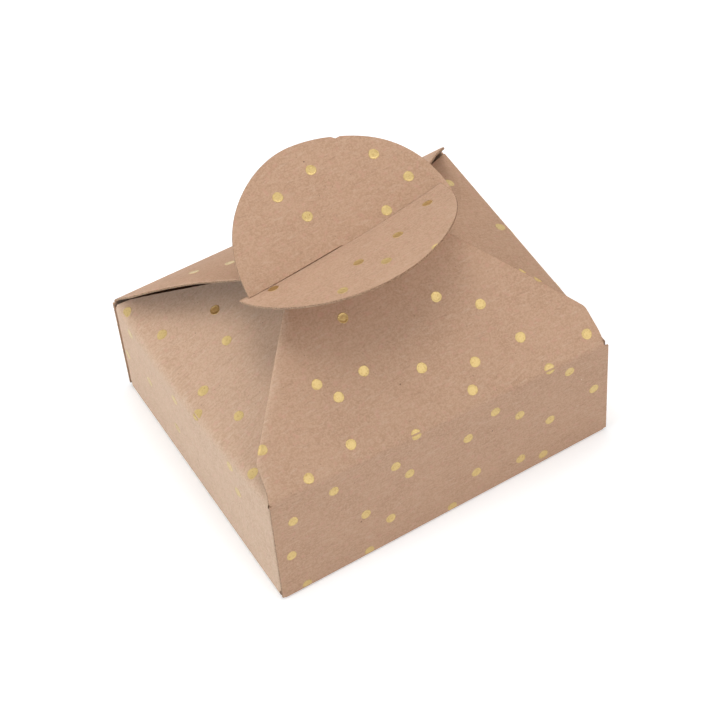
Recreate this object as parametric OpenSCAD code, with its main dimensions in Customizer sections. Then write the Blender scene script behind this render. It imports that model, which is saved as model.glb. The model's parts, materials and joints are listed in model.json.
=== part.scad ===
// Favour box folded from one blank of kraft card, with gold foil dots.
// A square-cornered tray of four walls carries four flaps.
// The two side flaps fold in first, and the front and back flaps close over them.
// Front and back end in round tabs with half slits, which cross and hold the box shut.
// X runs along the front wall, Y from front to back and Z up from the table.

/* [Tray] */
// Width of the tray, outside, along the front wall
box_w = 90; // [80:1:110]
// Depth of the tray, outside, from front to back
box_d = 76; // [66:1:90]
// Height of the walls, up to the creases of the flaps
wall_h = 31; // [20:1:45]
// Outside radius of a folded bend in the card
fold_r = 0.8; // [0.7:0.05:1.2]

/* [Card] */
// Thickness of the card
card_t = 0.5; // [0.4:0.05:0.6]
// Gap between a flap and the round top of the crease that it turns on
crease_gap = 0.15; // [0.1:0.05:0.3]

/* [Corner tabs] */
// Length of a glued corner tab behind the front or back wall
glue_tab_l = 13; // [8:0.5:18]
// Distance from the ends of a wall to the top and bottom of a corner tab
glue_tab_inset = 2; // [1:0.5:4]
// Length of the slanting ends of a corner tab
glue_tab_slant = 3; // [1:0.5:5]
// Thickness of the glue between a corner tab and its wall
glue_t = 0.1; // [0.05:0.05:0.2]
// Margin of bare card round a patch of glue
glue_margin = 1.5; // [1:0.25:2.5]

/* [Closing flaps] */
// Height of the crossing of the two tabs above the walls
closure_rise = 26.5; // [20:0.5:30]
// Radius of the gentle bow that runs through a closing flap and its tab
bow_r = 222; // [160:2:400]
// Distance by which a closing flap is narrower than the tray at its crease, on each side
crease_inset = 0.5; // [0.4:0.1:1.5]
// Distance by which a closing flap is narrower than the tray at its shoulders, on each side
shoulder_inset = 1.5; // [0.8:0.1:3]
// Distance of the shoulders from the crease, along the card
shoulder_l = 10; // [6:0.5:14]
// Radius of the rounded shoulders
shoulder_r = 3; // [1:0.5:8]
// Half width of the neck where a closing flap runs into its tab
neck_half_w = 16; // [12:0.5:20]

/* [Round tabs] */
// Radius of a round tab
tab_r = 27.5; // [22:0.5:30]
// Upright gap between the edges of a slit and the card that passes through it
slit_gap = 0.2; // [0.15:0.05:0.4]
// Gap past the middle at the closed end of a slit
slit_end_gap = 0.15; // [0.1:0.05:0.4]

/* [Side flaps] */
// Length of a side flap from its crease to its tip, along the card
side_flap_l = 38; // [28:1:40]
// Radius of the rounded tips of a side flap
side_tip_r = 6; // [2:0.5:8]
// Upright gap between the edges of a side flap and the closing flaps above it
lap_gap = 0.2; // [0.15:0.05:0.5]

/* [Foil dots] */
// Diameter of a foil dot
dot_d = 2.7; // [2:0.1:4]
// Thickness at which the foil is drawn
foil_t = 0.04; // [0.02:0.01:0.06]

/* [Hidden] */
kraft = "#b99a82";
kraft_inside = "#b0947d";
foil_gold = "#c8a548";
glue_white = "#e9e3d2";
$fn = 240;
outline_steps = 12; // Straight steps in the rounding of a corner
tab_steps = 48; // Straight steps in the rim of a round tab
overrun = 1; // How far a cutting shape runs past what it cuts

// Slope of a side flap as a share of the slope of a closing flap
side_slope_share = 0.7;
// Places of the foil dots: along the panel's half width, then along its length or height
front_wall_shares = [
    [0.764, 0.89], [0.916, 0.555], [0.314, 0.844], [0.459, 0.676], [0.644, 0.452], [0.147, 0.701],
    [0.459, 0.179], [0.599, 0.095], [0.186, 0.288], [-0.642, 0.838], [-0.282, 0.783], [-0.206, 0.636],
    [-0.886, 0.737], [-0.92, 0.406], [-0.477, 0.442], [-0.337, 0.267], [-0.478, 0.042], [-0.855, 0.037],
    [0.03, 0.045], [0.648, 1.014], [-0.149, 0.998]
];
left_wall_shares = [
    [-0.791, 0.893], [-0.953, 0.459], [-0.606, 0.545], [-0.164, 0.849], [-0.259, 0.408], [0.559, 0.909],
    [0.609, 0.683], [0.133, 1.01]
];
front_flap_shares = [
    [-0.228, 0.674], [0.264, 0.573], [0.459, 0.447], [-0.507, 0.432], [-0.434, 0.33], [-0.256, 0.393],
    [0.027, 0.285], [0.298, 0.199], [0.222, 0.079], [0.576, 0.213], [0.912, 0.085], [0.648, 0.009],
    [-0.483, 0.095], [-0.149, 0], [-0.758, 0.034], [-0.911, 0.258], [0.759, 0.522], [0.812, 0.448],
    [0.1, 0.82]
];
back_flap_shares = [
    [0.471, 0.448], [0.639, 0.343], [0.3, 0.62], [0.12, 0.35], [-0.08, 0.58], [0.14, 0.12], [-0.14, 0.12],
    [-0.28, 0.36], [-0.4, 0.6], [-0.52, 0.24], [-0.7, 0.08], [-0.62, 0.46], [0.05, 0.8]
];
front_tab_shares = [
    [-0.372, 0.613], [-0.004, 0.712], [-0.23, 0.356], [0.542, 0.613], [0.712, 0.31], [0.399, 0.122]
];
back_tab_shares = [
    [0.796, 0.11], [0.453, 0.763], [0.151, 0.461], [-0.003, 0.682], [-0.271, 0.372], [-0.684, 0.123],
    [-0.376, 0.897]
];
left_flap_shares = [
    [-0.853, 0.032], [-0.525, 0.112], [-0.393, 0.458], [-0.151, 0.399], [0.022, 0.103], [0.346, 0.176],
    [0.128, 0.01], [0.737, 0.043], [0.1, 0.72], [0.42, 0.5]
];
right_flap_shares = [
    [0.65, 0.165], [0.176, 0.063], [-0.72, 0.1], [0.36, 0.34], [-0.1, 0.45], [-0.44, 0.42], [0.08, 0.74]
];
// Walls that face away take their dots from a steady stepping across the panel
step_shares = [0.755, 0.57];
back_wall_dots_count = 18;
right_wall_dots_count = 15;

half_w = box_w / 2;
half_d = box_d / 2;
dot_r = dot_d / 2;
bend_inner_r = fold_r - card_t;
hinge_x = half_w - card_t / 2;
hinge_y = half_d - card_t / 2;
hinge_r = card_t / 2;
closure_slope = atan2(closure_rise, hinge_y);
flap_chord = norm([hinge_y, closure_rise]);
half_bow = asin(flap_chord / 2 / bow_r);
crease_slope = closure_slope + half_bow;
cross_slope = closure_slope - half_bow;
flap_l = arc_length(2 * half_bow);
bow_y = bow_r * sin(crease_slope) - hinge_y;
bow_z = wall_h - bow_r * cos(crease_slope);
slit_half = (card_t / cos(cross_slope) + slit_gap) / 2 / tan(cross_slope);
side_rise_share = side_slope_share * tan(closure_slope);
side_slope = atan(side_rise_share);
side_lift = card_t / 2 / cos(closure_slope) + card_t / 2 / cos(side_slope) + lap_gap;
side_crease_half = hinge_y - side_lift / tan(closure_slope);
side_narrowing_share = side_slope_share * cos(side_slope);
side_tip_half = side_crease_half - side_narrowing_share * side_flap_l;
side_wall_half = half_d - card_t - glue_t - fold_r;
top_z = wall_h + closure_rise + tab_r;

function arc_length(angle) = bow_r * angle * PI / 180;
function slope_at(run) = crease_slope - run / bow_r * 180 / PI;
// Depth on the table of a point that lies this far along the bowed card
function depth_at(run) = bow_y - bow_r * sin(slope_at(run));
function laid(points) = [for (p = points) [p[0], depth_at(p[1])]];
function mirrored(points) = concat(points, [for (i = [len(points) - 1:-1:0]) [-points[i][0], points[i][1]]]);
function unit(v) = v / norm(v);

// Points of the arc of radius r that rounds the corner b between a and c
function rounded(a, b, c, r) =
    let (
        to_a = unit(a - b),
        to_c = unit(c - b),
        half = acos(to_a * to_c) / 2,
        centre = b + unit(to_a + to_c) * r / sin(half),
        from = b + to_a * r / tan(half) - centre,
        to = b + to_c * r / tan(half) - centre,
        turn = asin((from[0] * to[1] - from[1] * to[0]) / r / r)
    )
    [for (i = [0:outline_steps])
        let (angle = turn * i / outline_steps)
        centre + [from[0] * cos(angle) - from[1] * sin(angle), from[0] * sin(angle) + from[1] * cos(angle)]];

// Outline of a closing flap on the flat card: half width, then distance from the crease
flap_corner = [half_w - crease_inset, 0];
flap_shoulder = [half_w - shoulder_inset, shoulder_l];
flap_neck = [neck_half_w, flap_l];
flap_half_outline =
    concat([flap_corner], rounded(flap_corner, flap_shoulder, flap_neck, shoulder_r), [flap_neck]);
// Outline of a side flap: distance from the crease, then half width
side_corner = [0, side_crease_half];
side_tip = [side_flap_l, side_tip_half];
side_tip_rounding = min(side_tip_r, side_tip_half / 2);
side_half_outline =
    concat([side_corner], rounded(side_corner, side_tip, [side_flap_l, 0], side_tip_rounding));
function below(points) =
    [for (i = [len(points) - 1:-1:0]) [points[i][0], -points[i][1]]];
function stepped(i, share) = i * share - floor(i * share);
function stepped_dots(count) =
    [for (i = [1:count]) [2 * stepped(i, step_shares[0]) - 1, stepped(i, step_shares[1])]];

// Turns the front half's shapes into the back half's
module to_back() {
    rotate([0, 0, 180]) children();
}

// A rod along X on the crease of the front flap
module crease_rod(radius, length) {
    translate([0, -hinge_y, wall_h]) rotate([0, 90, 0]) cylinder(r = radius, h = length, center = true);
}

module bow_rod(radius) {
    translate([0, bow_y, bow_z]) rotate([0, 90, 0]) cylinder(r = radius, h = box_w, center = true);
}

// A layer of the bowed card, from one depth to another about its middle, inside a plan outline
module bowed_layer(low, high) {
    intersection() {
        difference() {
            bow_rod(bow_r + high);
            bow_rod(bow_r + low);
            crease_rod(hinge_r + crease_gap, box_w + overrun);
        }
        translate([0, 0, wall_h - overrun]) linear_extrude(height = top_z - wall_h) children();
    }
}

module slit() {
    translate([slit_end_gap - half_w, -slit_half]) square([half_w, 2 * slit_half]);
}

module flap_plan() {
    difference() {
        polygon(laid(mirrored(flap_half_outline)));
        slit();
    }
}

module tab_plan() {
    polygon(laid([for (i = [0:tab_steps])
        let (angle = 180 * i / tab_steps)
        [tab_r * cos(angle), flap_l + tab_r * sin(angle)]]));
}

module held_half_plan() {
    difference() {
        intersection() {
            tab_plan();
            square([half_w, half_d]);
        }
        slit();
    }
}

module free_half_plan() {
    intersection() {
        tab_plan();
        translate([-half_w, slit_half]) square([half_w, half_d]);
    }
}

module closing_flap() {
    color(kraft) bowed_layer(-card_t / 2, card_t / 2) flap_plan();
}

module held_tab_half() {
    color(kraft) bowed_layer(-card_t / 2, card_t / 2) held_half_plan();
}

module free_tab_half() {
    color(kraft) bowed_layer(-card_t / 2, card_t / 2) free_half_plan();
}

// Foil dots pressed on the outside of the bowed card, cut off where the card ends
module bowed_dots(places, half_width, start, length) {
    color(foil_gold) intersection() {
        bowed_layer(card_t / 2, card_t / 2 + foil_t) children();
        for (p = places)
            translate([p[0] * half_width, bow_y, bow_z])
                rotate([slope_at(start + p[1] * length), 0, 0])
                    translate([0, 0, bow_r]) cylinder(r = dot_r, h = card_t);
    }
}

module side_flap_plan() {
    polygon(concat(side_half_outline, below(side_half_outline)));
}

// A layer of a left side flap, from one height to another about its middle
module side_layer(low, high) {
    translate([-hinge_x, 0, wall_h]) difference() {
        rotate([0, -side_slope, 0]) translate([0, 0, low]) linear_extrude(height = high - low) children();
        rotate([90, 0, 0]) cylinder(r = hinge_r + crease_gap, h = box_d, center = true);
    }
}

module side_flap() {
    color(kraft) side_layer(-card_t / 2, card_t / 2) side_flap_plan();
}

module side_flap_dots(places) {
    color(foil_gold) side_layer(card_t / 2, card_t / 2 + foil_t) intersection() {
        side_flap_plan();
        for (p = places) translate([p[1] * side_flap_l, -p[0] * half_d]) circle(r = dot_r);
    }
}

module base_panel() {
    color(kraft_inside) translate([fold_r - half_w, fold_r - half_d, 0])
        cube([box_w - 2 * fold_r, box_d - 2 * fold_r, card_t]);
}

// A wall that stands on its base crease, with its outer face on the plane y = -offset
module wall(half_length, offset) {
    color(kraft) translate([-half_length, -offset, fold_r]) cube([2 * half_length, card_t, wall_h - fold_r]);
}

// Quarter of a bent strip of card, with its axis along X and its outer corner towards the front and below
module bend(half_length, offset) {
    translate([0, fold_r - offset, fold_r]) rotate([0, 90, 0]) intersection() {
        difference() {
            cylinder(r = fold_r, h = 2 * half_length, center = true);
            cylinder(r = bend_inner_r, h = 2 * half_length + overrun, center = true);
        }
        translate([0, -fold_r, -half_length]) cube([fold_r, fold_r, 2 * half_length]);
    }
}

module base_crease(half_length, offset) {
    color(kraft) bend(half_length, offset);
}

// The rounded strip of card on top of a wall that its flap turns on
module flap_crease(half_length, offset) {
    color(kraft) intersection() {
        translate([0, -offset, wall_h]) rotate([0, 90, 0])
            cylinder(r = hinge_r, h = 2 * half_length, center = true);
        translate([-half_length, -offset - hinge_r, wall_h]) cube([2 * half_length, card_t, card_t]);
    }
}

module wall_dots(places, half_length, offset) {
    color(foil_gold) translate([0, -offset, 0]) rotate([90, 0, 0]) linear_extrude(height = foil_t)
        intersection() {
            translate([-half_length, fold_r]) square([2 * half_length, wall_h - fold_r]);
            for (p = places) translate([p[0] * half_length, p[1] * wall_h]) circle(r = dot_r);
        }
}

// Side of a corner tab as it lies behind the front wall, from the bend at the left corner
module corner_tab_side(margin) {
    translate([fold_r - half_w, 0]) polygon([
        [margin, wall_h - glue_tab_inset - margin],
        [margin, glue_tab_inset + margin],
        [glue_tab_l - margin, glue_tab_inset + glue_tab_slant + margin],
        [glue_tab_l - margin, wall_h - glue_tab_inset - glue_tab_slant - margin]
    ]);
}

// Front left corner tab: a bend off the end of the left wall, then the tab that is glued to the front wall
module corner_tab() {
    tab_y = card_t + glue_t - half_d;
    color(kraft_inside) union() {
        translate([0, tab_y + card_t, 0]) rotate([90, 0, 0])
            linear_extrude(height = card_t) corner_tab_side(0);
        translate([fold_r - half_w, tab_y + fold_r, glue_tab_inset]) intersection() {
            difference() {
                cylinder(r = fold_r, h = wall_h - 2 * glue_tab_inset);
                translate([0, 0, -overrun]) cylinder(r = bend_inner_r, h = wall_h + overrun);
            }
            translate([-fold_r, -fold_r, 0]) cube([fold_r, fold_r, wall_h]);
        }
    }
}

module corner_glue() {
    color(glue_white) translate([0, card_t + glue_t - half_d, 0]) rotate([90, 0, 0])
        linear_extrude(height = glue_t) corner_tab_side(glue_margin);
}

module glue_films() {
    for (side = [0, 1]) mirror([side, 0, 0]) {
        corner_glue();
        mirror([0, 1, 0]) corner_glue();
    }
}

// Turns a front wall's shapes to the left wall, or to the right with a turn of 90
module to_side(angle) {
    rotate([0, 0, angle]) children();
}

base_panel();
base_crease(half_w - fold_r, half_d);  // front_base_crease
to_back() base_crease(half_w - fold_r, half_d);  // back_base_crease
to_side(-90) base_crease(side_wall_half, half_w);  // left_base_crease
to_side(90) base_crease(side_wall_half, half_w);  // right_base_crease
wall(half_w, half_d);  // front_wall
to_back() wall(half_w, half_d);  // back_wall
to_side(-90) wall(side_wall_half, half_w);  // left_wall
to_side(90) wall(side_wall_half, half_w);  // right_wall
corner_tab();  // front_left_corner_tab
mirror([1, 0, 0]) corner_tab();  // front_right_corner_tab
mirror([0, 1, 0]) corner_tab();  // back_left_corner_tab
to_back() corner_tab();  // back_right_corner_tab
glue_films();
flap_crease(half_w - crease_inset, hinge_y);  // front_flap_crease
to_back() flap_crease(half_w - crease_inset, hinge_y);  // back_flap_crease
to_side(-90) flap_crease(side_wall_half, hinge_x);  // left_flap_crease
to_side(90) flap_crease(side_wall_half, hinge_x);  // right_flap_crease
closing_flap();  // front_flap
to_back() closing_flap();  // back_flap
side_flap();  // left_flap
to_back() side_flap();  // right_flap
held_tab_half();  // front_tab_held_half
free_tab_half();  // front_tab_free_half
to_back() held_tab_half();  // back_tab_held_half
to_back() free_tab_half();  // back_tab_free_half
wall_dots(front_wall_shares, half_w, half_d);  // front_wall_dots
to_back() wall_dots(stepped_dots(back_wall_dots_count), half_w, half_d);  // back_wall_dots
to_side(-90) wall_dots(left_wall_shares, side_wall_half, half_w);  // left_wall_dots
to_side(90) wall_dots(stepped_dots(right_wall_dots_count), side_wall_half, half_w);  // right_wall_dots
bowed_dots(front_flap_shares, half_w, 0, flap_l) flap_plan();  // front_flap_dots
to_back() bowed_dots(back_flap_shares, half_w, 0, flap_l) flap_plan();  // back_flap_dots
side_flap_dots(left_flap_shares);  // left_flap_dots
to_back() side_flap_dots(right_flap_shares);  // right_flap_dots
bowed_dots(front_tab_shares, tab_r, flap_l, tab_r) difference() {  // front_tab_dots
        tab_plan();
        slit();
    }
to_back() bowed_dots(back_tab_shares, tab_r, flap_l, tab_r) difference() {  // back_tab_dots
        tab_plan();
        slit();
    }
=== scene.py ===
import json
import math

import bmesh
import bpy
import numpy as np
from mathutils import Matrix, Vector


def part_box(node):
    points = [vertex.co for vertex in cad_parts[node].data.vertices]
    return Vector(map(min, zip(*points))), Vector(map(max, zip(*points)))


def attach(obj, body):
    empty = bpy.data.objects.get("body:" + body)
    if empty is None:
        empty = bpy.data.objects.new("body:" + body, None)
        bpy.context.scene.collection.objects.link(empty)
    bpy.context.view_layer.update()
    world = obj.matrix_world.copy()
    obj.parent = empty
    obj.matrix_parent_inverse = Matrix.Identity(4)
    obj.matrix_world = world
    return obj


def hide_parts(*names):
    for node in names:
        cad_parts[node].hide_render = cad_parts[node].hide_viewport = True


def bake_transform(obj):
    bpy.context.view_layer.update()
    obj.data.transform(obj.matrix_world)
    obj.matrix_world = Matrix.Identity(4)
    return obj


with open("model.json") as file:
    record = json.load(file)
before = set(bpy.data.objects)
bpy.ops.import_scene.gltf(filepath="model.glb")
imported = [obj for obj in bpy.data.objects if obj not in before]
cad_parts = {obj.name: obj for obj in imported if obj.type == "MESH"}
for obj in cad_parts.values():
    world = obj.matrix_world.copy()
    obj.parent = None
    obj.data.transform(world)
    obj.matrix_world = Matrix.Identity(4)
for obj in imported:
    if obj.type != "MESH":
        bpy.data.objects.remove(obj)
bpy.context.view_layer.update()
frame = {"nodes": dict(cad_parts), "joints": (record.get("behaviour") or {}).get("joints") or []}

# Favour box folded from kraft card, with pressed gold foil dots.
# All shapes are worked out in millimetres and put into the meshes in metres.
mm = 0.001
hinges = {j["name"]: j for j in frame["joints"]}
wallLow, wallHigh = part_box("front_wall")
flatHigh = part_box("base_panel")[1]

# The card and the tray, as the frame gives them
card = {
    "thickness": (wallHigh.y - wallLow.y) / mm,
    "gridStep": 1.6,  # mm between points of a card surface
    "slopeStep": 0.05,  # mm to either side of a point over which a surface's slope is taken
    "edgeRounding": 0.07,  # mm, the soft edge that a cutting die leaves
    "roundingShare": 0.4,  # of half the thickness, the most that the rounding takes
    "mergeReach": 0.0002,  # mm within which doubled points become one
    "sharpTurn": 28,  # degrees from which an edge is drawn sharp
}
tray = {
    "halfWidth": wallHigh.x / mm,
    "halfDepth": -wallLow.y / mm,
    "height": wallHigh.z / mm,
    "foldRadius": wallLow.z / mm,  # outside radius of the base creases
    "sideHalf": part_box("left_wall")[1].y / mm,
    "hingeX": -hinges["left_flap_hinge"]["pos_m"][0] / mm,
    "hingeY": -hinges["front_flap_hinge"]["pos_m"][1] / mm,
}
creaseRows = {"base": 9, "closing": 13, "side": 17}  # rows of points across each kind of crease
# How the folded box stands a little out of square: shifts of its corners in x and y, in mm
skew = {
    "frontLeft": {"base": (-0.50, -2.36), "top": (0.29, 0.39)},
    "frontRight": {"base": (-0.32, 0.70), "top": (0.10, -0.17)},
    "backLeft": {"base": (0.68, 0.63), "top": (-0.50, -0.01)},
    "backRight": {"base": (0.0, 0.0), "top": (1.20, -0.13)},
}


def unitRows(vectors):
    # each vector over its length
    return vectors / np.linalg.norm(vectors, axis=-1, keepdims=True)


def smooth(t):
    # 3 t^2 - 2 t^3 between 0 and 1, level at both ends
    t = np.clip(t, 0, 1)
    return t * t * (3 - 2 * t)


def cornerBlend(level, x, y):
    # bilinear: the four corner shifts weighted by (1 +- x / halfWidth) (1 +- y / halfDepth) / 4
    right, back = (1 + x / tray["halfWidth"]) / 2, (1 + y / tray["halfDepth"]) / 2
    weights = {
        "frontLeft": (1 - right) * (1 - back), "frontRight": right * (1 - back),
        "backLeft": (1 - right) * back, "backRight": right * back,
    }
    return sum(np.multiply.outer(weight, skew[corner][level]) for corner, weight in weights.items())


def settled(x, y, z):
    # the out of square shift runs straight from the base corners to the top ones, and stays the same above
    rise = np.clip(z / tray["height"], 0, 1)[..., None]
    shift = cornerBlend("base", x, y) * (1 - rise) + cornerBlend("top", x, y) * rise
    return np.stack([x + shift[..., 0], y + shift[..., 1], z], axis=-1)


# Closing flaps: a wall, its crease and a bowed flap as one run of card
closing = {
    "rise": 26.5,  # mm from the walls' top to the crossing of the tabs
    "bowRadius": 222.0,
    "creaseReach": 0.7,  # mm of card on either side of the crease that bend
    "bendInset": 0.12,  # mm by which the moving bend keeps within them
    "cornerInset": 0.5,
    "shoulder": (1.5, 10.0, 3.0),  # inset, distance from the crease, rounding
    "neckHalf": 16.0,
    "crossingX": -1.6,  # where both slits end
    "slitOffset": 0.47,  # mm from the crossing card's middle to the edge of a slit
    "slitLean": {"front": 0.0, "back": 0.17},  # mm by which a slit's edge leans on the crossing card
}
edgeRolls = {  # how the long edges of the closing flaps roll down, in mm
    "frontLeft": (1.9, 0.55),  # width and depth
    "others": (0.9, 0.22),
    "start": (1.5, 4.0),  # distance from the crease at which it starts, and over which it grows
    "end": 5.0,  # distance before the tab over which it fades
}
cornerPulls = {  # how the ends of the front crease are folded off the tray's corners, in mm
    "left": 0.5, "right": 0.65,  # both to the left
    "start": (38.0, 6.0),  # distance from the middle at which it starts, and over which it grows
    "fade": 2.0,  # scale of its fall up the flap
}
backTwist = {  # how the back flap comes up to its tab, by the distance d in x from the slits' end
    "tilt": 0.10,  # mm up per mm of d
    "curl": 0.001,  # mm up per square mm of d
    "yaw": 0.016,  # mm back per mm of d
    "droop": 0.0012,  # mm down per square mm past the crossing
    "arch": {-1: (2.17, 30.0), 1: (3.2, 35.0)},  # by the sign of d: how far an edge arches up, at which d
}
shoulderTuck = {  # how the back flap's right shoulder is pushed in, in mm
    "depth": 2.2,
    "start": (34.0, 9.5),  # x at which it starts, and over which it grows
    "middle": 9.0, "spread": 6.0,  # distance from the crease, and reach along the edge
}
sideFlap = {
    "slopeShare": 0.7,  # of the tangent of a closing flap's slope
    "length": 38.0,
    "tipRadius": 6.0,
    "lapGap": 0.2,
    "creaseReach": {"left": (2.0, 3.6), "right": (0.8, 1.0)},  # mm of card below and above a crease that bend
    "bendInset": 0.2,
    "bow": 1.3,  # mm by which the left crease bows out at its middle
    "twistRelief": 2.4,  # mm by which the left flap's back edge keeps clear of the tilted back flap
    "reliefPace": 1.4,  # how much sooner than at the tip that is full
    "columns": 45,
}
top, bowRadius, crossingX = tray["height"], closing["bowRadius"], closing["crossingX"]
chord = math.hypot(tray["hingeY"], closing["rise"])
closureSlope = math.atan2(closing["rise"], tray["hingeY"])
halfBow = math.asin(chord / 2 / bowRadius)
creaseSlope = closureSlope + halfBow
crossSlope = closureSlope - halfBow
flapLength = 2 * halfBow * bowRadius
sideSlope = math.atan(sideFlap["slopeShare"] * math.tan(closureSlope))
bendRadius = tray["foldRadius"] - card["thickness"] / 2  # to the middle of the card
bendLength = bendRadius * math.pi / 2
sideLift = card["thickness"] / 2 * (1 / math.cos(closureSlope) + 1 / math.cos(sideSlope)) + sideFlap["lapGap"]
sideCreaseHalf = tray["hingeY"] - sideLift / math.tan(closureSlope)
sideNarrowing = sideFlap["slopeShare"] * math.cos(sideSlope)


def foldPath(reach, flapDepth, flapRise, below, above):
    # depth inwards and height of the card's middle at a distance along it from the table:
    # a quarter circle, a straight wall, a quadratic curve round the crease, then the flap's own line
    turn = np.clip((tray["foldRadius"] - reach) / bendRadius, 0, math.pi / 2)
    depth = bendRadius * (1 - np.cos(turn))
    height = np.where(turn > 0, tray["foldRadius"] - bendRadius * np.sin(turn), reach)
    t = np.clip((reach - top + below) / (below + above), 0, 1)
    bentDepth = t * t * flapDepth(above)
    bentHeight = (1 - t) ** 2 * (top - below) + 2 * t * (1 - t) * top + t * t * (top + flapRise(above))
    run = np.maximum(reach - top, above)
    parts = [reach > top + above, reach > top - below]
    depth = np.select(parts, [flapDepth(run), bentDepth], depth)
    height = np.select(parts, [top + flapRise(run), bentHeight], height)
    return depth, height


def bowDepth(run):
    # R (sin a0 - sin a), with the slope a = a0 - run / R
    return bowRadius * (math.sin(creaseSlope) - np.sin(creaseSlope - run / bowRadius))


def bowRise(run):
    # R (cos a - cos a0)
    return bowRadius * (np.cos(creaseSlope - run / bowRadius) - math.cos(creaseSlope))


def closingPath(reach):
    # the fold with a bowed flap at its end
    return foldPath(reach, bowDepth, bowRise, closing["creaseReach"], closing["creaseReach"])


def sidePath(reach, side):
    # the fold with a straight flap at its end, run cos a inwards and run sin a up
    return foldPath(
        reach,
        lambda run: run * math.cos(sideSlope),
        lambda run: run * math.sin(sideSlope),
        *sideFlap["creaseReach"][side],
    )


def roundedCorner(before, corner, after, radius, steps=12):
    # the arc that touches both sides of a corner: centre on the bisector, radius / sin(half angle) away
    before, corner, after = (np.array(p, float) for p in (before, corner, after))
    toBefore, toAfter = unitRows(before - corner), unitRows(after - corner)
    half = math.acos(float(toBefore @ toAfter)) / 2
    centre = corner + unitRows(toBefore + toAfter) * radius / math.sin(half)
    start = corner + toBefore * radius / math.tan(half) - centre
    end = corner + toAfter * radius / math.tan(half) - centre
    turn = math.asin((start[0] * end[1] - start[1] * end[0]) / radius ** 2)
    angle = np.linspace(0, turn, steps + 1)
    across = start[0] * np.cos(angle) - start[1] * np.sin(angle)
    along = start[0] * np.sin(angle) + start[1] * np.cos(angle)
    return centre + np.stack([across, along], axis=-1)


def flapOutline():
    # half width and run of a closing flap: its corner, a rounded shoulder and its neck
    inset, shoulderRun, radius = closing["shoulder"]
    corner = (tray["halfWidth"] - closing["cornerInset"], 0.0)
    shoulder = (tray["halfWidth"] - inset, shoulderRun)
    neck = (closing["neckHalf"], flapLength)
    return np.vstack([[corner], roundedCorner(corner, shoulder, neck, radius), [neck]])


closingOutline = flapOutline()


def edgeRoll(x, run, edge="others"):
    # d (1 - e / w)^2 down, where e is the distance to the flap's edge; none at the crease or on the tab
    width, depth = edgeRolls[edge]
    first, growth = edgeRolls["start"]
    half = np.interp(run, closingOutline[:, 1], closingOutline[:, 0])
    within = smooth((run - first) / growth) * smooth((flapLength - run) / edgeRolls["end"])
    return depth * np.clip(1 - (half - np.abs(x)) / width, 0, 1) ** 2 * within


def cornerPull(x, run):
    # grows smoothly towards either corner, and falls as exp(-(run / f)^2) up the flap
    first, growth = cornerPulls["start"]
    pull = np.where(x < 0, cornerPulls["left"], cornerPulls["right"]) * smooth((np.abs(x) - first) / growth)
    fall = np.exp(-(np.maximum(run, 0) / cornerPulls["fade"]) ** 2)
    return pull * smooth(run / closing["creaseReach"] + 1) * fall


def frontSheet(x, reach):
    # the closing path from the front hinge, less the roll of its edges in z and the corners' pull in x
    depth, height = closingPath(reach)
    run = reach - top
    roll = np.where(x < 0, edgeRoll(x, run, "frontLeft"), edgeRoll(x, run))
    return settled(x - cornerPull(x, run), depth - tray["hingeY"], height - roll)


def backTilt(x):
    # a d + c d^2, with d the distance in x from the end of the slits
    d = x - crossingX
    return backTwist["tilt"] * d + backTwist["curl"] * d * d


def backSheet(x, reach):
    # as the front, turned round, with a tilt and yaw that grow smoothly from the crease to the crossing, a
    # droop by the square of the way past it, edges that arch up by 4 l s (1 - s) (d / w)^2, and a right
    # shoulder pushed in by a bell curve along its edge
    depth, height = closingPath(reach)
    run = reach - top
    share = np.clip(run / flapLength, 0, 1)
    d = x - crossingX
    arch = sum(
        4 * lift * share * (1 - share) * np.clip(sign * d / width, 0, 1) ** 2
        for sign, (lift, width) in backTwist["arch"].items()
    )
    first, growth = shoulderTuck["start"]
    bell = np.exp(-((run - shoulderTuck["middle"]) / shoulderTuck["spread"]) ** 2)
    tuck = shoulderTuck["depth"] * smooth((x - first) / growth) * bell
    droop = backTwist["droop"] * np.maximum(run - flapLength, 0) ** 2
    height = height + backTilt(x) * smooth(share) + arch - droop - edgeRoll(x, run)
    return settled(x - tuck, tray["hingeY"] - depth + backTwist["yaw"] * d * smooth(share), height)


def leftSheet(y, reach):
    # the side path from the left hinge, bowed out by b (1 - (y / h)^2), which fades down the wall and just
    # past the crease
    depth, height = sidePath(reach, "left")
    above = sideFlap["creaseReach"]["left"][1]
    fade = smooth(reach / top) * (1 - smooth((reach - top) / above))
    bow = sideFlap["bow"] * (1 - np.clip(y / tray["sideHalf"], -1, 1) ** 2) * fade
    return settled(depth - tray["hingeX"] - bow, y, height)


def rightSheet(y, reach):
    # the side path from the right hinge
    depth, height = sidePath(reach, "right")
    return settled(tray["hingeX"] - depth, y, height)


def baseSheet(x, y):
    # level, half the card's thickness above the table
    return settled(x, y, np.full_like(x, card["thickness"] / 2))


# Each sheet with the side that its outer face is on, and its place on the flat blank
sheets = {
    "front": {"surface": frontSheet, "outer": 1, "blank": lambda u, v: (u, -tray["halfDepth"] - v)},
    "back": {"surface": backSheet, "outer": -1, "blank": lambda u, v: (u, tray["halfDepth"] + v)},
    "left": {"surface": leftSheet, "outer": -1, "blank": lambda u, v: (-tray["halfWidth"] - v, u)},
    "right": {"surface": rightSheet, "outer": 1, "blank": lambda u, v: (tray["halfWidth"] + v, u)},
    "base": {"surface": baseSheet, "outer": -1, "blank": lambda u, v: (u, v)},
}


def sheetNormals(surface, u, v):
    # cross product of the surface's steps along u and along v, over a small distance either way
    step = card["slopeStep"]
    alongU = surface(u + step, v) - surface(u - step, v)
    alongV = surface(u, v + step) - surface(u, v - step)
    return unitRows(np.cross(alongU, alongV))


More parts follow.
